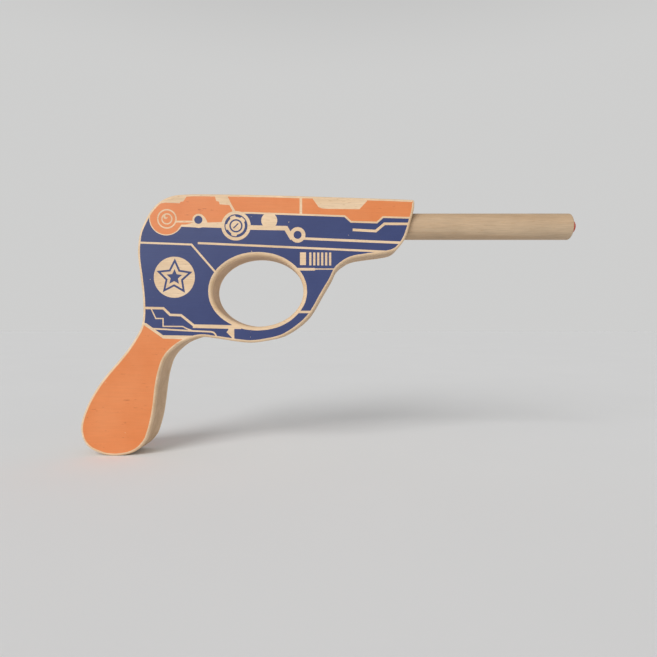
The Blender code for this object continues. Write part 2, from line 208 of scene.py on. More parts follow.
def wood_material(name, light, dark, fleck, fleck_share, roughness):
    """Beech grain in object space: broad rings, fine fibres and ray flecks, all stretched along X."""
    material, nodes, links, shader, place = new_surface(name, "Sanded wood")

    ring_frame = nodes.new("NodeFrame")
    ring_frame.label = "Growth rings: broad soft bands"
    ring_stretch = nodes.new("ShaderNodeMapping")
    ring_stretch.label = "Bands run along the board"
    ring_stretch.inputs["Rotation"].default_value = (0.0, 0.03, 0.02)
    ring_stretch.inputs["Scale"].default_value = (7.0, 90.0, 110.0)
    ring_noise = nodes.new("ShaderNodeTexNoise")
    ring_noise.label = "Ring bands"
    ring_noise.inputs["Scale"].default_value = 1.0
    ring_noise.inputs["Detail"].default_value = 4.0
    ring_noise.inputs["Roughness"].default_value = 0.55
    ring_noise.inputs["Distortion"].default_value = 0.6
    ring_ramp = nodes.new("ShaderNodeValToRGB")
    ring_ramp.label = "Early to late wood"
    ring_ramp.color_ramp.elements[0].position = 0.32
    ring_ramp.color_ramp.elements[0].color = dark
    ring_ramp.color_ramp.elements[1].position = 0.62
    ring_ramp.color_ramp.elements[1].color = light
    for node, x, y in ((ring_stretch, -1200, 400), (ring_noise, -1000, 400), (ring_ramp, -800, 400)):
        node.parent = ring_frame
        node.location = (x, y)

    soil_frame = nodes.new("NodeFrame")
    soil_frame.label = "Handling: faint uneven darkening"
    soil_noise = nodes.new("ShaderNodeTexNoise")
    soil_noise.label = "Broad patches"
    soil_noise.inputs["Scale"].default_value = 45.0
    soil_noise.inputs["Detail"].default_value = 3.0
    soil_shade = nodes.new("ShaderNodeMapRange")
    soil_shade.label = "Patch shade"
    soil_shade.inputs["From Min"].default_value = 0.3
    soil_shade.inputs["From Max"].default_value = 0.7
    soil_shade.inputs["To Min"].default_value = 0.92
    soil_shade.inputs["To Max"].default_value = 1.04
    soil_colour = nodes.new("ShaderNodeVectorMath")
    soil_colour.label = "Shade the patches"
    soil_colour.operation = "SCALE"
    for node, x, y in ((soil_noise, -400, -300), (soil_shade, -200, -300), (soil_colour, 300, 100)):
        node.parent = soil_frame
        node.location = (x, y)

    fibre_noise, fibre_colour = add_fibres(nodes, links, place, (120.0, 2600.0, 2600.0), 3.0, (0.86, 1.08))
    dashes = (300.0, 1700.0, 1700.0)
    limits = (0.66 - 0.1 * fleck_share, 0.76 - 0.1 * fleck_share)
    fleck_mix = add_flecks(nodes, links, place, 0.05, dashes, 1.0, limits, fleck_share, fleck)
    rough = (roughness - 0.06, roughness + 0.1)
    add_feel(nodes, links, shader, fibre_noise, rough, fibre_noise, 0.35, 0.12 * MM)
    links.new(place.outputs["Object"], ring_stretch.inputs["Vector"])
    links.new(ring_stretch.outputs["Vector"], ring_noise.inputs["Vector"])
    links.new(ring_noise.outputs["Fac"], ring_ramp.inputs["Fac"])
    links.new(ring_ramp.outputs["Color"], fibre_colour.inputs["Vector"])
    links.new(fibre_colour.outputs["Vector"], fleck_mix.inputs["A"])
    links.new(place.outputs["Object"], soil_noise.inputs["Vector"])
    links.new(soil_noise.outputs["Fac"], soil_shade.inputs["Value"])
    links.new(fleck_mix.outputs["Result"], soil_colour.inputs["Vector"])
    links.new(soil_shade.outputs["Result"], soil_colour.inputs["Scale"])
    links.new(soil_colour.outputs["Vector"], shader.inputs["Base Color"])
    return material


board_wood = wood_material(
    "board_wood",
    light=from_srgb(234, 205, 170),
    dark=from_srgb(224, 190, 150),
    fleck=from_srgb(170, 120, 76),
    fleck_share=0.3,
    roughness=0.58,
)

# ------------------------------
# Ink
# Screen-printed ink straight on the sanded board: a thin satin film that sinks a little
# into the fibres, lets the ray flecks show and misses a pinhole here and there.
# ------------------------------


def ink_material(name, ink, deep, pinhole, fleck_share, roughness):
    """Ink film over beech: streaked by the fibres, darkened by flecks, with bare pinholes."""
    material, nodes, links, shader, place = new_surface(name, "Satin ink")

    pull_frame = nodes.new("NodeFrame")
    pull_frame.label = "Screen pull: slow change in ink weight"
    pull_noise = nodes.new("ShaderNodeTexNoise")
    pull_noise.label = "Ink weight"
    pull_noise.inputs["Scale"].default_value = 38.0
    pull_noise.inputs["Detail"].default_value = 5.0
    pull_noise.inputs["Roughness"].default_value = 0.6
    pull_ramp = nodes.new("ShaderNodeValToRGB")
    pull_ramp.label = "Thin to heavy ink"
    pull_ramp.color_ramp.elements[0].position = 0.3
    pull_ramp.color_ramp.elements[0].color = ink
    pull_ramp.color_ramp.elements[1].position = 0.75
    pull_ramp.color_ramp.elements[1].color = deep
    for node, x, y in ((pull_noise, -1000, 400), (pull_ramp, -800, 400)):
        node.parent = pull_frame
        node.location = (x, y)

    hole_frame = nodes.new("NodeFrame")
    hole_frame.label = "Pinholes: specks that the ink missed"
    hole_cells = nodes.new("ShaderNodeTexNoise")
    hole_cells.label = "Pinhole places"
    hole_cells.inputs["Scale"].default_value = 900.0
    hole_cells.inputs["Detail"].default_value = 0.0
    hole_mask = nodes.new("ShaderNodeMapRange")
    hole_mask.label = "Only the rarest specks"
    hole_mask.inputs["From Min"].default_value = 0.9
    hole_mask.inputs["From Max"].default_value = 0.92
    hole_mix = nodes.new("ShaderNodeMix")
    hole_mix.label = "Bare wood in pinholes"
    hole_mix.data_type = "RGBA"
    hole_mix.inputs["B"].default_value = pinhole
    for node, x, y in ((hole_cells, -400, -400), (hole_mask, -200, -400), (hole_mix, 300, 100)):
        node.parent = hole_frame
        node.location = (x, y)

    fibre_noise, fibre_colour = add_fibres(nodes, links, place, (90.0, 1500.0, 1500.0), 4.0, (0.97, 1.03))
    under = (deep[0] * 0.62, deep[1] * 0.55, deep[2] * 0.6, 1.0)
    dashes = (230.0, 900.0, 1200.0)
    fleck_mix = add_flecks(nodes, links, place, 0.08, dashes, 2.0, (0.69, 0.74), fleck_share, under)
    rough = (roughness + 0.08, roughness - 0.08)
    add_feel(nodes, links, shader, pull_noise, rough, fibre_noise, 0.25, 0.1 * MM)
    links.new(place.outputs["Object"], pull_noise.inputs["Vector"])
    links.new(pull_noise.outputs["Fac"], pull_ramp.inputs["Fac"])
    links.new(pull_ramp.outputs["Color"], fibre_colour.inputs["Vector"])
    links.new(fibre_colour.outputs["Vector"], fleck_mix.inputs["A"])
    links.new(place.outputs["Object"], hole_cells.inputs["Vector"])
    links.new(hole_cells.outputs["Fac"], hole_mask.inputs["Value"])
    links.new(hole_mask.outputs["Result"], hole_mix.inputs["Factor"])
    links.new(fleck_mix.outputs["Result"], hole_mix.inputs["A"])
    links.new(hole_mix.outputs["Result"], shader.inputs["Base Color"])
    return material


orange_ink = ink_material(
    "orange_ink",
    ink=from_srgb(225, 137, 80),
    deep=from_srgb(218, 123, 62),
    pinhole=from_srgb(236, 200, 160),
    fleck_share=0.6,
    roughness=0.42,
)
navy_ink = ink_material(
    "navy_ink",
    ink=from_srgb(48, 62, 112),
    deep=from_srgb(38, 51, 102),
    pinhole=from_srgb(214, 190, 160),
    fleck_share=0.3,
    roughness=0.42,
)

# ------------------------------
# Side panels
# Two thin beech boards glued to the core. Each outer face carries the print, inside a rim
# that is rounded over and sanded bare after printing; the finger hole's rim is the same.
# ------------------------------

BOARD_ROUND_OVER = 1.3 * MM
HOLE_ROUND_OVER = 2.0 * MM
GLUE_GAP = 0.15 * MM  # half the gap that the frame keeps between two layers
SEAM_CHAMFER = 0.12 * MM
BEND_SHARE = 0.85  # of a corner's own radius, the most that its rim may be rounded by
RIM_RINGS = 9
MITRE_LIMIT = 0.3  # a sharp corner is moved by no more than the shift over this
OUTLINE_STEPS = 14
OUTLINE_KNOTS = MM * np.array(
    (
        (43.6, 69.0), (19.3, 69.9), (-41.5, 71.7), (-73.0, 72.1), (-82.0, 71.9), (-87.4, 71.3),
        (-92.2, 69.6), (-96.2, 67.0), (-100.2, 62.6), (-103.2, 57.3), (-105.9, 51.0), (-107.1, 42.5),
        (-106.9, 36.0), (-105.6, 26.0), (-104.2, 11.0), (-105.0, 0.0), (-109.2, -8.4),
        (-115.2, -16.8), (-127.2, -31.2), (-135.0, -44.5), (-138.5, -56.5), (-135.6, -66.0),
        (-127.2, -71.0), (-118.0, -72.1), (-109.0, -70.0), (-103.0, -64.5), (-100.3, -58.0),
        (-98.2, -49.0), (-95.6, -30.0), (-93.2, -21.0), (-90.7, -16.6), (-87.0, -12.8),
        (-81.8, -9.3), (-73.0, -6.7), (-63.4, -7.5), (-52.3, -9.2), (-44.5, -9.8), (-36.5, -8.9),
        (-28.0, -6.8), (-20.5, -2.5), (-14.1, 2.8), (-10.4, 7.7), (-5.2, 16.8), (-0.3, 25.2),
        (2.3, 30.5), (5.9, 33.8), (11.0, 36.5), (19.2, 38.0), (27.6, 39.1), (34.3, 40.8),
        (38.6, 45.0), (41.2, 49.8), (43.2, 56.5), (44.9, 62.8), (45.35, 66.0), (45.0, 68.4),
    )
)
HOLE_CENTRE = MM * np.array((-41.0, 18.5))
HOLE_HALF_AXES = MM * np.array((25.1, 19.5))
HOLE_POINTS = 220


def smooth_outline(knots, steps):
    """Closed curve through knots, as points and outward unit normals.

    Each stretch is a cubic Bezier whose handles lie a third of the stretch's length from its
    ends, along the chord between the neighbours of each end.
    """
    after, before = np.roll(knots, -1, axis=0), np.roll(knots, 1, axis=0)
    tangent = (after - before) / np.linalg.norm(after - before, axis=1, keepdims=True)
    reach = np.linalg.norm(after - knots, axis=1, keepdims=True) / 3
    first, last = knots + tangent * reach, after - np.roll(tangent, -1, axis=0) * reach
    t = np.linspace(0, 1, steps, endpoint=False)[None, :, None]
    p, q, r, s = (a[:, None, :] for a in (knots, first, last, after))
    points = (1 - t) ** 3 * p + 3 * t * (1 - t) ** 2 * q + 3 * t**2 * (1 - t) * r + t**3 * s
    slope = (1 - t) ** 2 * (q - p) + 2 * t * (1 - t) * (r - q) + t**2 * (s - r)
    points, slope = points.reshape(-1, 2), slope.reshape(-1, 2)
    normal = np.stack([slope[:, 1], -slope[:, 0]], axis=1)
    return points, normal / np.linalg.norm(normal, axis=1, keepdims=True)


def hole_outline(count):
    """Finger hole: an ellipse walked clockwise, so that its normals also point out of the wood."""
    turn = np.linspace(0, -2 * math.pi, count, endpoint=False)
    unit = np.stack([np.cos(turn), np.sin(turn)], axis=1)
    inward = -unit / HOLE_HALF_AXES
    return HOLE_CENTRE + unit * HOLE_HALF_AXES, inward / np.linalg.norm(inward, axis=1, keepdims=True)


def rim_radius(points, normals, largest):
    """Round-over radius along a closed outline: the largest one, less where a corner is tighter.

    The radius of curvature is the step along the outline over the turn of its normal; the
    radius kept is BEND_SHARE of it, taken as a running minimum and then evened out.
    """
    step = np.linalg.norm(np.roll(points, -1, axis=0) - points, axis=1)
    ahead = np.roll(normals, -1, axis=0)
    turn = normals[:, 0] * ahead[:, 1] - normals[:, 1] * ahead[:, 0]
    bend = np.where(turn > 1e-6, step / np.maximum(turn, 1e-6), 1.0)
    allowed = np.minimum(largest, BEND_SHARE * bend)
    window = range(-5, 6)
    lowest = np.min([np.roll(allowed, k) for k in window], axis=0)
    return np.mean([np.roll(lowest, k) for k in window], axis=0)


def flat_region(board, holes, shapes):
    """Triangles of a flat board with holes, split along every painted shape.

    Returns points, triangles, the paint of each triangle, which is that of the last shape
    over it, and where each given board or hole point went.
    """
    outlines = [board, *holes, *[shape for _, shape in shapes]]
    points, faces = [], []
    for outline in outlines:
        x, z = outline[:, 0], outline[:, 1]
        area = np.sum(x * np.roll(z, -1) - z * np.roll(x, -1))
        ring = list(range(len(points), len(points) + len(outline)))
        faces.append(ring if area > 0 else ring[::-1])
        points.extend(Vector(pair) for pair in (outline / MM).tolist())
    found = delaunay_2d_cdt(points, [], faces, 0, 1e-5, True)
    places = np.array([tuple(v) for v in found[0]]) * MM
    last_hole = len(holes)
    triangles, paints = [], []
    for corners, within in zip(found[2], found[5]):
        if 0 in within and not any(0 < face <= last_hole for face in within):
            over = max(within)
            triangles.append(corners)
            paints.append(shapes[over - last_hole - 1][0] if over > last_hole else 0)
    used, triangles = np.unique(triangles, return_inverse=True)
    kept = {int(place): number for number, place in enumerate(used)}
    went = {}
    for place, sources in enumerate(found[3]):
        for source in sources:
            went[source] = kept.get(place)
    return places[used], triangles.reshape(-1, 3), np.array(paints), went


def edge_steps(triangles):
    """For each index on the boundary, the next one along it, with the board on the left."""
    ahead = np.concatenate([triangles[:, [0, 1]], triangles[:, [1, 2]], triangles[:, [2, 0]]])
    inner = set(map(tuple, ahead[:, ::-1].tolist()))
    return {a: b for a, b in ahead.tolist() if (a, b) not in inner}


def edge_loop(triangles, start):
    """Indices along the boundary that leaves start."""
    follow = edge_steps(triangles)
    loop = [start]
    while follow[loop[-1]] != start:
        loop.append(follow[loop[-1]])
    return np.array(loop)


def along(loop):
    """Distance round a closed loop at each of its points, and the whole way round."""
    step = np.linalg.norm(np.roll(loop, -1, axis=0) - loop, axis=1)
    return np.concatenate([[0.0], np.cumsum(step)[:-1]]), step.sum()


def carried(values, loop, finer):
    """Values given at the points of a loop, read off at the points of a finer copy of it."""
    coarse_way, whole = along(loop)
    fine_way, _ = along(finer)
    coarse_way = np.append(coarse_way, whole)
    columns = [np.interp(fine_way, coarse_way, np.append(v, v[0])) for v in values.T]
    return np.stack(columns, axis=1)


def new_piece(name, points, faces, materials, indices, smooth, body):
    """One mesh object at the origin, riding on a body, with its paint and its smooth faces."""
    mesh = bpy.data.meshes.new(name)
    mesh.from_pydata(points.tolist(), [], faces)
    for material in materials:
        mesh.materials.append(material)
    mesh.polygons.foreach_set("material_index", np.asarray(indices, dtype=np.int32))
    mesh.polygons.foreach_set("use_smooth", np.asarray(smooth, dtype=bool))
    mesh.update()
    mesh.validate()
    piece = bpy.data.objects.new(name, mesh)
    bpy.context.scene.collection.objects.link(piece)
    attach(piece, body)
    return piece


def ring_faces(first, second):
    """Quads between two closed rows of vertex numbers of equal length."""
    return np.stack([first, np.roll(first, -1), np.roll(second, -1), second], axis=1).tolist()


def disc(x, z, radius, count=72):
    """Circle of a radius about (x, z), walked anticlockwise."""
    turn = np.linspace(0, 2 * math.pi, count, endpoint=False)
    return np.stack([x + radius * np.cos(turn), z + radius * np.sin(turn)], axis=1)


def mitred(points, shift, closed):
    """Points moved sideways by shift, to the left of travel, along the mitre of their corners."""
    ahead = np.roll(points, -1, axis=0) - points
    if not closed:
        ahead[-1] = ahead[-2]
    ahead = ahead / np.linalg.norm(ahead, axis=1, keepdims=True)
    behind = np.roll(ahead, 1, axis=0)
    if not closed:
        behind[0] = ahead[0]
    left = np.stack([-(ahead + behind)[:, 1], (ahead + behind)[:, 0]], axis=1)
    left = left / np.linalg.norm(left, axis=1, keepdims=True)
    share = left[:, 0] * -ahead[:, 1] + left[:, 1] * ahead[:, 0]
    return points + left * (shift / np.maximum(share, MITRE_LIMIT))[:, None]


def line(points, width):
    """Outline of a mitred line of even width through the points."""
    points = np.array(points, dtype=float)
    one, other = mitred(points, width / 2, False), mitred(points, -width / 2, False)
    return np.concatenate([other, one[::-1]])


def star(x, z, tip, notch, turn):
    """Five-pointed star walked anticlockwise from its top tip, turned by an angle in degrees."""
    angle = math.radians(90 + turn) + np.arange(10) * math.pi / 5
    radius = np.where(np.arange(10) % 2 == 0, tip, notch)
    return np.stack([x + radius * np.cos(angle), z + radius * np.sin(angle)], axis=1)


def cog(x, z, root, tip, teeth, width):
    """Disc of radius root whose edge steps out to tip within half a width of each tooth's angle."""
    turn = np.linspace(0, 2 * math.pi, 180, endpoint=False)
    off = np.radians(np.array(teeth))[:, None] - turn[None, :]
    off = np.abs(np.arctan2(np.sin(off), np.cos(off))).min(axis=0)
    rise = np.clip((math.radians(width) / 2 - off) / math.radians(5) + 0.5, 0, 1)
    radius = root + (tip - root) * rise
    return np.stack([x + radius * np.cos(turn), z + radius * np.sin(turn)], axis=1)


BARE, ORANGE, NAVY = 0, 1, 2
LOBE = (-91.2, 58.7)
LOBE_RINGS = (-90.9, 58.3)
DOT = (-73.6, 57.8)
GEAR = (-52.9, 54.5)
RING = (-19.0, 49.5)
BADGE = (-86.8, 26.2)
STAR_TURN = -1.5
VENT_X = np.linspace(-12.0, -1.1, 6)
VENT_HALF_WIDTH = 0.6
VENT_LOW, VENT_HIGH = 32.7, 39.8


def print_shapes():
    """The print, in millimetres on the face, in the order that it is laid down."""
    shapes = [
        # orange upper zone, its rear lobe and the bare line under it
        (BARE, disc(*LOBE, 9.5)),
        (ORANGE, disc(*LOBE, 9.0)),
        (ORANGE, (
            (60, 58.4), (60, 80), (-91.2, 80), (-91.2, 55.2), (-80.4, 55.2), (-76.6, 56.2), (-68.6, 56.3),
            (-59.4, 56.6), (-52.9, 61.9), (-45.2, 61.6), (-19.1, 60.7), (6.9, 59.8), (10.4, 56.7),
            (24.6, 56.3), (28.0, 59.3),
        )),
        (BARE, line((
            (-52.9, 61.7), (-45.2, 61.6), (-19.1, 60.7), (6.9, 59.8), (10.4, 56.7), (24.6, 56.3),
            (28.0, 59.3), (60, 58.4),
        ), 0.95)),
        # bare bridge from the lobe to the gear, with the arch round the dot
        (BARE, (
            (-82.7, 55.2), (-80.4, 55.2), (-76.6, 56.2), (-68.6, 56.3), (-59.4, 56.6), (-59.4, 53.3),
            (-71.2, 53.7), (-73.4, 53.3), (-75.4, 53.6), (-83.2, 54.0), (-84.4, 52.2), (-84.9, 52.6),
        )[::-1]),
        (BARE, line(((-86.2, 56.8), (-76.0, 56.8)), 1.0)),
        (BARE, disc(*DOT, 3.3)),
        (BARE, ((-76.4, 56.0), (-75.4, 60.4), (-73.2, 61.1), (-71.6, 60.7), (-69.6, 58.6), (-68.4, 56.0))),
        (NAVY, disc(*DOT, 2.25)),
        # rings in the lobe
        (BARE, disc(*LOBE_RINGS, 5.4)),
        (ORANGE, disc(*LOBE_RINGS, 4.65)),
        (BARE, disc(*LOBE_RINGS, 3.1)),
        (ORANGE, disc(*LOBE_RINGS, 2.4)),
        (BARE, disc(LOBE_RINGS[0] - 0.7, LOBE_RINGS[1] + 1.1, 1.15)),
        (ORANGE, disc(LOBE_RINGS[0] - 0.2, LOBE_RINGS[1] + 1.6, 0.75)),
        # bare patches let into the orange
        (BARE, (
            (-65.4, 74), (-57.6, 74), (-57.3, 70.2), (-55.2, 66.0), (-52.6, 61.6), (-54.3, 61.6),
            (-56.5, 65.9), (-61.9, 66.3), (-62.3, 67.8), (-63.8, 68.2),
        )),
        (BARE, (
            (-99, 65.4), (-96.3, 66.5), (-91.8, 67.2), (-83.8, 66.9), (-83.4, 67.7), (-81.9, 67.9),
            (-80.3, 70.2), (-78.3, 74), (-99, 74),
        )),
        (BARE, line(((-17.2, 75), (-17.2, 60.6)), 1.4)),
        (BARE, (
            (-11.9, 74), (-10.4, 68.9), (-7.3, 64.6), (-5.2, 64.0), (-2.3, 63.8), (15.0, 63.6),
            (19.1, 68.0), (19.6, 74),
        )),
        # gear on its bare disc
        (BARE, disc(*GEAR, 8.1)),
        (NAVY, disc(*GEAR, 6.35)),
        (BARE, cog(*GEAR, 4.85, 5.75, (43, 110, 187, 258), 34)),
        (NAVY, disc(*GEAR, 3.65)),
        (BARE, disc(*GEAR, 2.8)),
        (NAVY, line(((-54.3, 53.2), (-51.6, 55.8)), 0.7)),
        # bare disc, band and ring to the right of the gear
        (BARE, disc(-34.6, 57.4, 4.4)),
        (BARE, ((-37.9, 58.5), (-37.0, 53.2), (-31.8, 53.2), (-31.2, 58.5))),
        (BARE, line(((-46, 53.6), (-25.4, 53.2), (-21.9, 47.3)), 2.5)),
        (BARE, disc(*RING, 4.3)),
        (NAVY, disc(*RING, 2.2)),
        # long lines over the finger hole and the stepped line at the nose
        (BARE, line(((-15.8, 47.5), (37.0, 45.2), (50, 44.7)), 1.35)),
        (BARE, line(((-73.9, 45.0), (-45.2, 43.7), (24.3, 40.5), (40, 39.8)), 1.15)),
        (BARE, line(((11.3, 52.3), (24.0, 51.6), (28.8, 55.6), (50, 55.5)), 1.4)),
        (BARE, line(((-112, 45.5), (-77.4, 44.2), (-61.0, 25.3)), 1.05)),
        # star badge
        (BARE, disc(*BADGE, 11.3, 96)),
        (NAVY, star(*BADGE, 10.4, 5.1, STAR_TURN)),
        (BARE, star(*BADGE, 7.9, 3.85, STAR_TURN)),
        (NAVY, star(*BADGE, 4.5, 2.1, STAR_TURN)),
        # vents and short lines round the finger hole
        (BARE, ((-17.7, 32.9), (-14.4, 32.9), (-14.4, 39.9), (-17.7, 39.9))),
        (BARE, line(((-25, 30.6), (-9.4, 30.6)), 1.4)),
        (BARE, line(((-12, 30.7), (8, 30.7)), 0.65)),
        (BARE, line(((-24, 7.1), (-6, 7.1)), 1.3)),
        # stepped lines behind the guard
        (BARE, line((
            (-110, 9.5), (-92.8, 9.1), (-89.1, 5.5), (-83.1, 5.3), (-76.0, -0.4), (-73, -1.0),
        ), 1.3)),
        (BARE, line(((-76.6, -0.7), (-50, -1.3)), 2.0)),
        (BARE, line(((-54.5, 2), (-54.5, -12)), 1.35)),
        (BARE, ((-57.1, -2.0), (-57.1, -2.7), (-58.1, -4.1), (-55.6, -6.5), (-54.8, -7.4), (-54.8, -2.0))),
        (BARE, line((
            (-99.7, 9.2), (-97.0, 3.5), (-93.0, 3.5), (-93.0, -0.8), (-82.2, -0.9), (-79.9, -2.1),
            (-76.5, -3.3),
        ), 0.65)),
        (BARE, line((
            (-100, -2.0), (-77.5, -3.3), (-66.6, -3.8), (-65.2, -4.2), (-64.2, -5.2), (-63.6, -6.6),
            (-63.4, -10),
        ), 0.85)),
        # bare band and orange grip
        (BARE, (
            (-104.2, 1.4), (-102.1, 0.8), (-93.0, -5.7), (-79.9, -5.9), (-72, -6.1), (-72, -90),
            (-150, -90), (-150, 5), (-110, 5),
        )),
        (ORANGE, (
            (-103.4, -0.2), (-93.0, -7.5), (-81.4, -8.0), (-72, -8.5), (-72, -90), (-150, -90), (-150, 4),
            (-110, 4),
        )),
    ]
    for x in VENT_X:
        near, far = x - VENT_HALF_WIDTH, x + VENT_HALF_WIDTH
        shapes.append((BARE, ((near, VENT_LOW), (far, VENT_LOW), (far, VENT_HIGH), (near, VENT_HIGH))))
    return [(paint, np.array(shape, dtype=float) * MM) for paint, shape in shapes]


board_line, board_out = smooth_outline(OUTLINE_KNOTS, OUTLINE_STEPS)
hole_line, hole_out = hole_outline(HOLE_POINTS)
board_rim = rim_radius(board_line, board_out, BOARD_ROUND_OVER)[:, None]
hole_rim = np.full((HOLE_POINTS, 1), HOLE_ROUND_OVER)
board_flat, hole_flat = board_line - board_out * board_rim, hole_line - hole_out * hole_rim


def ragged(flat, out, way):
    """Edge of the ink: the flat's edge drawn in by 0.1 mm, give or take slow and quick ripples."""
    ripple = 0.04 * np.sin(way * 310) + 0.02 * np.sin(way * 970 + 1.3) + 0.015 * np.sin(way * 2300 + 0.4)
    return flat - out * (0.1 + ripple)[:, None] * MM


ink_board = ragged(board_flat, board_out, along(board_flat)[0])
ink_hole = ragged(hole_flat, hole_out, along(hole_flat)[0])
painted = [(NAVY, ink_board), *print_shapes(), (BARE, ink_hole)]
face_points, face_triangles, face_paint, face_went = flat_region(board_flat, [hole_flat], painted)

def is_inside(points, outline):
    """Even-odd rule, for all points at once: a point is inside if a ray crosses the outline oddly."""
    x, z = points[:, 0, None], points[:, 1, None]
    ax, az = outline[:, 0], outline[:, 1]
    bx, bz = np.roll(ax, -1), np.roll(az, -1)
    spans = (az > z) != (bz > z)
    level = np.where(az == bz, 1.0, bz - az)
    crossing = ax + (z - az) * (bx - ax) / level
    return (spans & (x < crossing)).sum(axis=1) % 2 == 1


# Past the ragged edge no ink was laid: a triangle whose middle is outside it stays bare.
middle = face_points[face_triangles].mean(axis=1)
face_paint[~is_inside(middle, ink_board)] = BARE


def printed_panel(name, node, side):
    """Panel on one side: printed flat, quarter-round rim, wall and seam chamfer, and a flat back.

    Every ring is the flat's edge moved out by sin(a) of the rim's radius and down by
    1 - cos(a) of it, for a from 0 to 90 degrees, then straight down the wall.
    """
    low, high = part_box(node)
    face, back = (low[1], high[1]) if side < 0 else (high[1], low[1])
    back -= side * GLUE_GAP
    points = [np.column_stack([face_points[:, 0], np.full(len(face_points), face), face_points[:, 1]])]
    faces = (face_triangles[:, ::-1] if side > 0 else face_triangles).tolist()
    paint, smooth = face_paint.tolist(), [False] * len(face_triangles)
    count = len(face_points)
    back_loops = []
    starts = (face_went[0], face_went[len(board_flat)])
    for start, flat, edge, rim in (
        (starts[0], board_flat, board_line, board_rim),
        (starts[1], hole_flat, hole_line, hole_rim),
    ):
        previous = edge_loop(face_triangles, start)
        inner = face_points[previous]
        outer, radius = carried(edge, flat, inner), carried(rim, flat, inner)[:, 0]
        rings = []
        for angle in np.linspace(0, math.pi / 2, RIM_RINGS + 1)[1:]:
            place = inner + (outer - inner) * math.sin(angle)
            rings.append((place, face - side * radius * (1 - math.cos(angle))))
        out = (outer - inner) / np.maximum(radius, 1e-9)[:, None]
        rings.append((outer, np.full(len(outer), back + side * SEAM_CHAMFER)))
        rings.append((outer - out * SEAM_CHAMFER, np.full(len(outer), back)))
        for place, depth in rings:
            ring = np.arange(count, count + len(place))
            points.append(np.column_stack([place[:, 0], depth, place[:, 1]]))
            quads = ring_faces(ring, previous) if side < 0 else ring_faces(previous, ring)
            faces += quads
            paint += [BARE] * len(quads)
            smooth += [True] * len(quads)
            previous, count = ring, count + len(place)
        back_loops.append((previous, rings[-1][0]))
    (board_ring, board_back), (hole_ring, hole_back) = back_loops
    _, back_triangles, _, went = flat_region(board_back, [hole_back], [])
    edge_rings = np.concatenate([board_ring, hole_ring])
    number = np.zeros(len(edge_rings), dtype=int)
    number[[went[given] for given in range(len(edge_rings))]] = edge_rings
    back_faces = number[back_triangles]
    faces += (back_faces if side > 0 else back_faces[:, ::-1]).tolist()
    paint += [BARE] * len(back_faces)
    smooth += [False] * len(back_faces)
    materials = (board_wood, orange_ink, navy_ink)
    piece = new_piece(
        name, np.concatenate(points), faces, materials, paint, smooth, "body"
    )
    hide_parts(node)
    return piece


printed_panel("printed_left_panel", "left_side_panel", -1)
printed_panel("printed_right_panel", "right_side_panel", 1)

# ------------------------------
# Core
# The thick middle board, sawn to the outline and sanded with the panels glued on. A square
# channel, open at the nose, takes the barrel; two grooves in it take the stop pegs.
# ------------------------------

CHANNEL_BACK_X = -49 * MM
CHANNEL_LOW, CHANNEL_HIGH = 48.3 * MM, 63.7 * MM
GROOVE_HALF_WIDTH = 2.3 * MM
GROOVE_DEPTH = 2.6 * MM
GROOVE_FRONT_X = 9.3 * MM
# Painted shade: the core is the board's beech made darker, so that its walls look to be in shade.
shaded_core_wood = wood_material(
    "shaded_core_wood",
    light=from_srgb(216, 184, 149),
    dark=from_srgb(199, 165, 128),
    fleck=from_srgb(150, 106, 68),
    fleck_share=0.4,
    roughness=0.62,
)


def edge_loops(triangles):
    """Every closed loop of the boundary, each from its lowest index."""
    starts, loops = set(edge_steps(triangles)), []
    while starts:
        loops.append(edge_loop(triangles, min(starts)))
        starts -= set(loops[-1].tolist())
    return loops


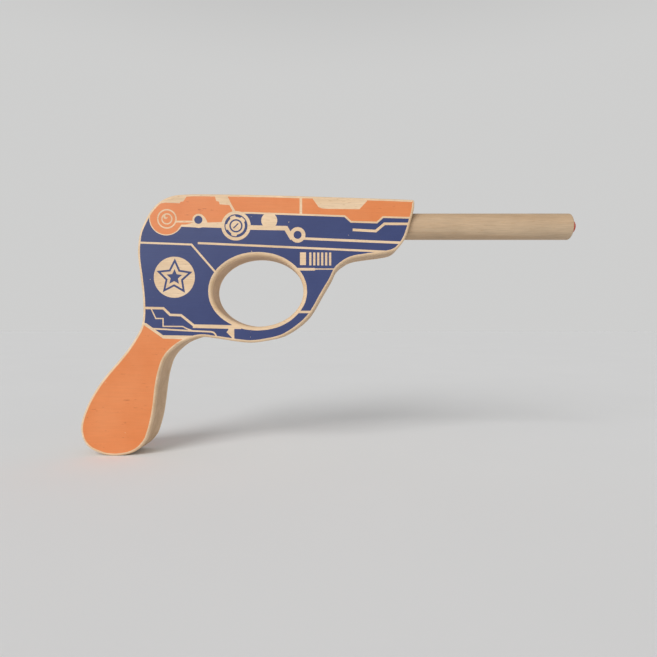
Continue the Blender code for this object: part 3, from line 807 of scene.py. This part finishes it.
def core_block():
    """Board outline less the finger hole and the channel, drawn out between the two panels.

    A middle layer as wide as the grooves also loses the grooves; where the layers differ,
    the step between them is the groove's side wall. The edges next to the panels have a
    small chamfer, moved in along the mitre of each corner.
    """
    low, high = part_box("core_frame")
    faces_y = (low[1] - GLUE_GAP, high[1] + GLUE_GAP)
    front = 60 * MM  # past the nose, so that the channel is open in front
    channel = np.array(
        [
            (CHANNEL_BACK_X, CHANNEL_LOW),
            (front, CHANNEL_LOW),
            (front, CHANNEL_HIGH),
            (CHANNEL_BACK_X, CHANNEL_HIGH),
        ]
    )
    groove = channel.copy()
    groove[:, 1] += np.array([-1, -1, 1, 1]) * GROOVE_DEPTH
    groove[1:3, 0] = GROOVE_FRONT_X
    places, triangles, paint, _ = flat_region(board_line, [hole_line, channel], [(1, groove)])
    edges, groove_edges = edge_loops(triangles), edge_loops(triangles[paint == 0])
    step = triangles[paint == 1]
    points, faces, smooth = [], [], []
    count = 0

    def add(xz, y):
        nonlocal count
        points.append(np.column_stack([xz[:, 0], np.full(len(xz), y), xz[:, 1]]))
        count += len(xz)
        return np.arange(count - len(xz), count)

    for side, face in zip((-1, 1), faces_y):
        cap = places.copy()
        for loop in edges:
            cap[loop] = mitred(places[loop], SEAM_CHAMFER, True)
        cap_ring, lip_ring = add(cap, face), add(places, face - side * SEAM_CHAMFER)
        step_ring = add(places, side * GROOVE_HALF_WIDTH)
        flip = slice(None) if side < 0 else slice(None, None, -1)
        faces.extend(cap_ring[triangles][:, flip].tolist())
        smooth.extend([False] * len(triangles))
        for loop in edges:
            for upper, under in ((cap_ring, lip_ring), (lip_ring, step_ring)):
                pair = (under[loop], upper[loop]) if side < 0 else (upper[loop], under[loop])
                quads = ring_faces(*pair)
                faces.extend(quads)
                smooth.extend([True] * len(quads))
        faces.extend(step_ring[step][:, flip][:, ::-1].tolist())
        smooth.extend([False] * len(step))
        if side < 0:
            near_ring = step_ring
    for loop in groove_edges:
        quads = ring_faces(step_ring[loop], near_ring[loop])
        faces.extend(quads)
        smooth.extend([True] * len(quads))
    materials = (shaded_core_wood,)
    piece = new_piece(
        "core_block", np.concatenate(points), faces, materials, [0] * len(faces), smooth, "body",
    )
    piece.data.set_sharp_from_angle(angle=math.radians(30))
    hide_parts("core_frame")
    return piece


core_block()

# ------------------------------
# Barrel
# A turned hardwood dowel, bored right through and sanded, greyer and plainer than the body; its colour is
# also darkened a little as painted shade.
# Its muzzle is rounded over outside and in, where a child's hand and the ball touch it.
# ------------------------------

BARREL_AXIS_Z = 56 * MM
BARREL_SEGMENTS = 144
# Partly painted shade: the dowel's own greyer wood, made a little darker to stand in for the shade round
# the barrel.
barrel_wood = wood_material(
    "barrel_wood",
    light=from_srgb(200, 174, 143),
    dark=from_srgb(187, 156, 122),
    fleck=from_srgb(178, 138, 96),
    fleck_share=0.3,
    roughness=0.55,
)


def turned_grid(profile, turns, relief):
    """Points of a profile (x, radius) turned about the barrel's axis, one row per profile point.

    Relief is a function of x and the angle that is taken off the radius.
    """
    x, radius = profile[:, 0, None], profile[:, 1, None]
    angle = np.linspace(0, 2 * math.pi, turns, endpoint=False)[None, :]
    radius = radius - relief(x, angle)
    x = np.broadcast_to(x, radius.shape)
    grid = np.stack([x, radius * np.cos(angle), BARREL_AXIS_Z + radius * np.sin(angle)], axis=2)
    return grid.reshape(-1, 3)


def fillet(centre, radius, first, last, count):
    """Quarter-turn or other arc of points about a centre, angles in degrees from +X."""
    angle = np.radians(np.linspace(first, last, count))
    return np.stack([centre[0] + radius * np.cos(angle), centre[1] + radius * np.sin(angle)], axis=1)


def bored_barrel():
    """Closed profile turned about the axis: outside, rounded muzzle, bore, and square rear end."""
    low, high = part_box("barrel_tube")
    back, front = low[0], high[0]
    outer, bore = (high[1] - low[1]) / 2, 5.3 * MM
    muzzle, lip, rear = 0.9 * MM, 0.5 * MM, 0.35 * MM
    long, short = 60, 30  # points along the outside and along the bore
    skin = (
        fillet((back + rear, outer - rear), rear, 180, 90, 4),
        np.column_stack([np.linspace(back + 2 * rear, front - 1.6 * muzzle, long), np.full(long, outer)]),
        fillet((front - muzzle, outer - muzzle), muzzle, 90, 0, 7),
    )
    hollow = (
        fillet((front - lip, bore + lip), lip, 0, -90, 5),
        np.column_stack([np.linspace(front - 2 * lip, back + 2 * rear, short), np.full(short, bore)]),
        fillet((back + rear, bore + rear), rear, 270, 180, 4),
    )
    profile = np.concatenate([*skin, *hollow])
    outside = np.arange(len(profile)) < sum(len(part) for part in skin)

    def relief(x, angle):
        """Hand-sanded dowel: slow waves along it and round it, up to 0.02 mm deep."""
        wave = 1 + np.sin(7 * angle + 90 * x) * np.sin(140 * x + 2 * angle)
        return wave * 0.01 * MM * outside[:, None]

    points = turned_grid(profile, BARREL_SEGMENTS, relief)
    rows = np.arange(len(points)).reshape(len(profile), BARREL_SEGMENTS)
    faces = []
    for first, second in zip(rows, np.roll(rows, -1, axis=0)):
        faces += ring_faces(first, second)
    piece = new_piece(
        "bored_barrel", points, faces, (barrel_wood,), [0] * len(faces), [True] * len(faces), "barrel",
    )
    piece.data.set_sharp_from_angle(angle=math.radians(40))
    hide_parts("barrel_tube")
    return piece


bored_barrel()

# ------------------------------
# Ball
# A small ball of closed-cell foam, moulded with a skin and finely pitted. It is a shade
# smaller than the bore, and is pushed into the muzzle by hand.
# ------------------------------


def foam_material(name, skin, pore_shade_colour):
    """Foam: a pale mottled skin with a fine dimpled bump, its pores darkened as painted shade."""
    material, nodes, links, shader, place = new_surface(name, "Matt foam")
    shader.inputs["Roughness"].default_value = 0.85
    shader.inputs["Subsurface Weight"].default_value = 0.15
    shader.inputs["Subsurface Radius"].default_value = (0.002, 0.001, 0.0006)

    pore_frame = nodes.new("NodeFrame")
    pore_frame.label = "Pores: cells under half a millimetre wide"
    pore_cells = nodes.new("ShaderNodeTexVoronoi")
    pore_cells.label = "Foam cells"
    pore_cells.inputs["Scale"].default_value = 2600.0
    pore_mask = nodes.new("ShaderNodeMapRange")
    pore_mask.label = "Centre of each pore"
    pore_mask.inputs["From Min"].default_value = 0.1
    pore_mask.inputs["From Max"].default_value = 0.45
    pore_mask.inputs["To Min"].default_value = 0.55
    pore_mask.inputs["To Max"].default_value = 0.0
    # Painted shade: the pore colour darkens the centre of each dimple, where shade would fall.
    pore_shade_mix = nodes.new("ShaderNodeMix")
    pore_shade_mix.label = "Darker in the pores"
    pore_shade_mix.data_type = "RGBA"
    pore_shade_mix.inputs["B"].default_value = pore_shade_colour
    pore_bump = nodes.new("ShaderNodeBump")
    pore_bump.label = "Dimples"
    pore_bump.invert = True
    pore_bump.inputs["Strength"].default_value = 0.5
    pore_bump.inputs["Distance"].default_value = 0.00015
    for node, x, y in (
        (pore_cells, -600, 0), (pore_mask, -400, 0), (pore_shade_mix, 200, 100), (pore_bump, 200, -300),
    ):
        node.parent = pore_frame
        node.location = (x, y)

    skin_frame = nodes.new("NodeFrame")
    skin_frame.label = "Skin: soft mottling from handling"
    skin_noise = nodes.new("ShaderNodeTexNoise")
    skin_noise.label = "Mottling"
    skin_noise.inputs["Scale"].default_value = 260.0
    skin_noise.inputs["Detail"].default_value = 3.0
    skin_ramp = nodes.new("ShaderNodeValToRGB")
    skin_ramp.label = "Clean to handled"
    skin_ramp.color_ramp.elements[0].position = 0.35
    skin_ramp.color_ramp.elements[0].color = skin
    skin_ramp.color_ramp.elements[1].position = 0.8
    skin_ramp.color_ramp.elements[1].color = tuple(0.82 * value for value in skin[:3]) + (1.0,)
    for node, x, y in ((skin_noise, -600, 300), (skin_ramp, -400, 300)):
        node.parent = skin_frame
        node.location = (x, y)

    links.new(place.outputs["Object"], pore_cells.inputs["Vector"])
    links.new(place.outputs["Object"], skin_noise.inputs["Vector"])
    links.new(skin_noise.outputs["Fac"], skin_ramp.inputs["Fac"])
    links.new(pore_cells.outputs["Distance"], pore_mask.inputs["Value"])
    links.new(pore_mask.outputs["Result"], pore_shade_mix.inputs["Factor"])
    links.new(skin_ramp.outputs["Color"], pore_shade_mix.inputs["A"])
    links.new(pore_shade_mix.outputs["Result"], shader.inputs["Base Color"])
    links.new(pore_mask.outputs["Result"], pore_bump.inputs["Height"])
    links.new(pore_bump.outputs["Normal"], shader.inputs["Normal"])
    return material


red_foam = foam_material("red_foam", skin=from_srgb(206, 74, 50), pore_shade_colour=from_srgb(128, 36, 26))


def foam_ball():
    """Sphere whose radius dips by up to 0.08 mm in rounded pits, from products of sines.

    Rows run from pole to pole along X; each pole is one point, closed with triangles.
    """
    low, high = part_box("foam_ball")
    centre, radius = (np.array(low) + np.array(high)) / 2, (high[1] - low[1]) / 2
    rows, turns = 70, 120
    tilt = np.linspace(0, math.pi, rows + 2)[1:-1, None]
    angle = np.linspace(0, 2 * math.pi, turns, endpoint=False)[None, :]
    x, y, z = np.broadcast_arrays(np.cos(tilt), np.sin(tilt) * np.cos(angle), np.sin(tilt) * np.sin(angle))
    dips = np.sin(19 * x + 4 * z) * np.sin(23 * y + 5 * x) * np.sin(21 * z + 3 * y)
    fine = np.sin(47 * x + 9 * y) * np.sin(53 * y - 7 * z) * np.sin(43 * z + 5 * x)
    near = radius - (0.03 * (1 + dips) + 0.012 * (1 + fine)) * MM
    grid = np.stack([x * near, y * near, z * near], axis=2).reshape(-1, 3) + centre
    poles = centre + np.array([(radius - 0.04 * MM, 0, 0), (-radius + 0.04 * MM, 0, 0)])
    points = np.concatenate([grid, poles])
    numbers = np.arange(rows * turns).reshape(rows, turns)
    faces = []
    for first, second in zip(numbers[:-1], numbers[1:]):
        faces += ring_faces(second, first)
    front, rear = rows * turns, rows * turns + 1
    faces += [[front, a, b] for a, b in zip(numbers[0].tolist(), np.roll(numbers[0], -1).tolist())]
    faces += [[rear, b, a] for a, b in zip(numbers[-1].tolist(), np.roll(numbers[-1], -1).tolist())]
    piece = new_piece(
        "pitted_ball", points, faces, (red_foam,), [0] * len(faces), [True] * len(faces), "ball",
    )
    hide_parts("foam_ball")
    return piece


foam_ball()

# ------------------------------
# Dowels, pegs and piston rod
# Plain birch dowel stock, cut to length and glued in: four line the layers up, two ride in
# the grooves as the barrel's stops, and the long one carries the piston.
# ------------------------------

dowel_wood = wood_material(
    "dowel_wood",
    light=from_srgb(233, 212, 178),
    dark=from_srgb(220, 193, 152),
    fleck=from_srgb(186, 148, 104),
    fleck_share=0.25,
    roughness=0.62,
)


def finish_node(name, material):
    """Give a carried-over node its finish in its own material slots."""
    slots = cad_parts[name].data.materials
    slots.clear()
    slots.append(material)


for peg in (
    "alignment_dowel_1",
    "alignment_dowel_2",
    "alignment_dowel_3",
    "alignment_dowel_4",
    "stop_peg_upper",
    "stop_peg_lower",
    "piston_rod",
):
    finish_node(peg, dowel_wood)

# ------------------------------
# Pin, washer and screw
# Zinc-plated steel: a plain pin driven across the core and the rod, and a washer and screw
# that hold the piston's seal.
# ------------------------------


def plated_material(name, plate, worn, roughness):
    """Zinc plate: clouded crystals in colour, drawn lines in roughness and relief."""
    material, nodes, links, shader, place = new_surface(name, "Zinc plate")
    shader.inputs["Metallic"].default_value = 1.0

    cloud_frame = nodes.new("NodeFrame")
    cloud_frame.label = "Clouded plate"
    cloud_noise = nodes.new("ShaderNodeTexNoise")
    cloud_noise.label = "Crystal clouds"
    cloud_noise.inputs["Scale"].default_value = 900.0
    cloud_noise.inputs["Detail"].default_value = 4.0
    cloud_ramp = nodes.new("ShaderNodeValToRGB")
    cloud_ramp.label = "Bright to dull plate"
    cloud_ramp.color_ramp.elements[0].color = worn
    cloud_ramp.color_ramp.elements[1].color = plate
    for node, x, y in ((cloud_noise, -600, 200), (cloud_ramp, -300, 200)):
        node.parent = cloud_frame
        node.location = (x, y)

    brush_frame = nodes.new("NodeFrame")
    brush_frame.label = "Drawing marks"
    brush_stretch = nodes.new("ShaderNodeMapping")
    brush_stretch.label = "Fine lines"
    brush_stretch.inputs["Scale"].default_value = (400.0, 400.0, 6000.0)
    brush_noise = nodes.new("ShaderNodeTexNoise")
    brush_noise.label = "Marks"
    brush_noise.inputs["Scale"].default_value = 1.0
    for node, x, y in ((brush_stretch, -700, -200), (brush_noise, -500, -200)):
        node.parent = brush_frame
        node.location = (x, y)

    rough = (roughness - 0.08, roughness + 0.12)
    add_feel(nodes, links, shader, brush_noise, rough, brush_noise, 0.2, 0.03 * MM)
    links.new(place.outputs["Object"], cloud_noise.inputs["Vector"])
    links.new(cloud_noise.outputs["Fac"], cloud_ramp.inputs["Fac"])
    links.new(cloud_ramp.outputs["Color"], shader.inputs["Base Color"])
    links.new(place.outputs["Object"], brush_stretch.inputs["Vector"])
    links.new(brush_stretch.outputs["Vector"], brush_noise.inputs["Vector"])
    return material


zinc_plate = plated_material(
    "zinc_plate", plate=(0.72, 0.73, 0.75, 1.0), worn=(0.5, 0.51, 0.53, 1.0), roughness=0.35
)
for steel in ("rod_cross_pin", "piston_washer", "piston_screw"):
    finish_node(steel, zinc_plate)

# ------------------------------
# Piston head, seal and buffer
# A turned nylon head with a rubber ring that seals the bore, and a ring of pressed felt at
# the back of the channel that takes the knock when the barrel is pushed home.
# ------------------------------


def grained_material(name, light, dark, size, roughness, relief):
    """Plain-coloured stuff with a grain of a given size, raised by relief, and mottled in colour: darker
    in the relief's hollows as painted shade, lighter on its tops.
    """
    material, nodes, links, shader, place = new_surface(name, "Body of the stuff")

    grain_frame = nodes.new("NodeFrame")
    grain_frame.label = "Grain: hollows and tops"
    grain_noise = nodes.new("ShaderNodeTexNoise")
    grain_noise.label = "Grain"
    grain_noise.inputs["Scale"].default_value = 1.0 / size
    grain_noise.inputs["Detail"].default_value = 5.0
    # Painted shade: the same noise raises the relief, so the dark colour falls in its hollows and the
    # light one on its tops.
    grain_and_hollow_shade_ramp = nodes.new("ShaderNodeValToRGB")
    grain_and_hollow_shade_ramp.label = "Hollows to tops"
    grain_and_hollow_shade_ramp.color_ramp.elements[0].position = 0.3
    grain_and_hollow_shade_ramp.color_ramp.elements[0].color = dark
    grain_and_hollow_shade_ramp.color_ramp.elements[1].position = 0.7
    grain_and_hollow_shade_ramp.color_ramp.elements[1].color = light
    for node, x, y in ((grain_noise, -600, 0), (grain_and_hollow_shade_ramp, -300, 200)):
        node.parent = grain_frame
        node.location = (x, y)

    rough = (min(1.0, roughness + 0.1), roughness - 0.1)
    add_feel(nodes, links, shader, grain_noise, rough, grain_noise, 0.6, relief)
    links.new(place.outputs["Object"], grain_noise.inputs["Vector"])
    links.new(grain_noise.outputs["Fac"], grain_and_hollow_shade_ramp.inputs["Fac"])
    links.new(grain_and_hollow_shade_ramp.outputs["Color"], shader.inputs["Base Color"])
    return material


turned_nylon = grained_material(
    "turned_nylon",
    light=from_srgb(236, 234, 226),
    dark=from_srgb(222, 218, 208),
    size=0.6 * MM,
    roughness=0.4,
    relief=0.02 * MM,
)
seal_rubber = grained_material(
    "seal_rubber",
    light=from_srgb(48, 46, 45),
    dark=from_srgb(30, 29, 28),
    size=0.3 * MM,
    roughness=0.6,
    relief=0.02 * MM,
)
pressed_felt = grained_material(
    "pressed_felt",
    light=from_srgb(150, 146, 138),
    dark=from_srgb(104, 100, 94),
    size=0.25 * MM,
    roughness=0.88,
    relief=0.12 * MM,
)
finish_node("piston_head", turned_nylon)
finish_node("piston_seal", seal_rubber)
finish_node("rear_buffer", pressed_felt)

# ------------------------------
# Floor and light
# A pale matt table top under the toy, in a room with pale walls and a dimmer ceiling, and one
# broad soft key light from the upper left in front.
# ------------------------------

floor_paint, floor_nodes, floor_links, floor_shader, floor_place = new_surface("floor_paint", "Matt board")
floor_shader.inputs["Roughness"].default_value = 0.9
floor_shader.inputs["Specular IOR Level"].default_value = 0.2
floor_noise = floor_nodes.new("ShaderNodeTexNoise")
floor_noise.label = "Faint unevenness"
floor_noise.location = (-300, 0)
floor_noise.inputs["Scale"].default_value = 8.0
floor_ramp = floor_nodes.new("ShaderNodeValToRGB")
floor_ramp.label = "Pale greys"
floor_ramp.location = (0, 0)
floor_ramp.color_ramp.elements[0].color = (0.83, 0.83, 0.83, 1.0)
floor_ramp.color_ramp.elements[1].color = (0.86, 0.86, 0.86, 1.0)
floor_links.new(floor_place.outputs["Object"], floor_noise.inputs["Vector"])
floor_links.new(floor_noise.outputs["Fac"], floor_ramp.inputs["Fac"])
floor_links.new(floor_ramp.outputs["Color"], floor_shader.inputs["Base Color"])

FLOOR_HALF = 12.0
floor_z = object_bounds()[0][2]
floor_mesh = bpy.data.meshes.new("floor")
floor_corners = FLOOR_HALF * np.array([(-1, -1), (1, -1), (1, 1), (-1, 1)])
floor_mesh.from_pydata([(x, y, floor_z) for x, y in floor_corners.tolist()], [], [(0, 1, 2, 3)])
floor_mesh.materials.append(floor_paint)
floor = bpy.data.objects.new("floor", floor_mesh)
bpy.context.scene.collection.objects.link(floor)

world = bpy.data.worlds.new("room")
world_nodes, world_links = cleared_tree(world)
world_output = world_nodes.new("ShaderNodeOutputWorld")
world_output.label = "Room"
world_output.location = (800, 0)
room_glow = world_nodes.new("ShaderNodeBackground")
room_glow.label = "Light of the room"
room_glow.location = (600, 0)
room_way = world_nodes.new("ShaderNodeTexCoord")
room_way.label = "Direction"
room_way.location = (-400, 0)
room_height = world_nodes.new("ShaderNodeSeparateXYZ")
room_height.label = "Height above the horizon"
room_height.location = (-200, 0)
room_ramp = world_nodes.new("ShaderNodeValToRGB")
room_ramp.label = "Pale walls, dimmer ceiling"
room_ramp.location = (200, 0)
room_ramp.color_ramp.interpolation = "EASE"
room_ramp.color_ramp.elements[0].position = 0.42
room_ramp.color_ramp.elements[0].color = (0.62, 0.62, 0.615, 1.0)
room_ramp.color_ramp.elements[1].position = 0.85
room_ramp.color_ramp.elements[1].color = (0.3, 0.3, 0.3, 1.0)
world_links.new(room_way.outputs["Generated"], room_height.inputs["Vector"])
world_links.new(room_height.outputs["Z"], room_ramp.inputs["Fac"])
world_links.new(room_ramp.outputs["Color"], room_glow.inputs["Color"])
world_links.new(room_glow.outputs["Background"], world_output.inputs["Surface"])
bpy.context.scene.world = world


def soft_sun(name, towards, strength, spread):
    """Far lamp that shines from a direction, with the softness of a screen that many degrees wide."""
    lamp_data = bpy.data.lights.new(name, "SUN")
    lamp_data.energy = strength
    lamp_data.angle = math.radians(spread)
    lamp = bpy.data.objects.new(name, lamp_data)
    lamp.rotation_euler = Vector(towards).to_track_quat("Z", "Y").to_euler()
    bpy.context.scene.collection.objects.link(lamp)


soft_sun("key", (-0.45, -0.8, 0.55), 1.85, 35)

bpy.context.scene.view_settings.view_transform = "Standard"
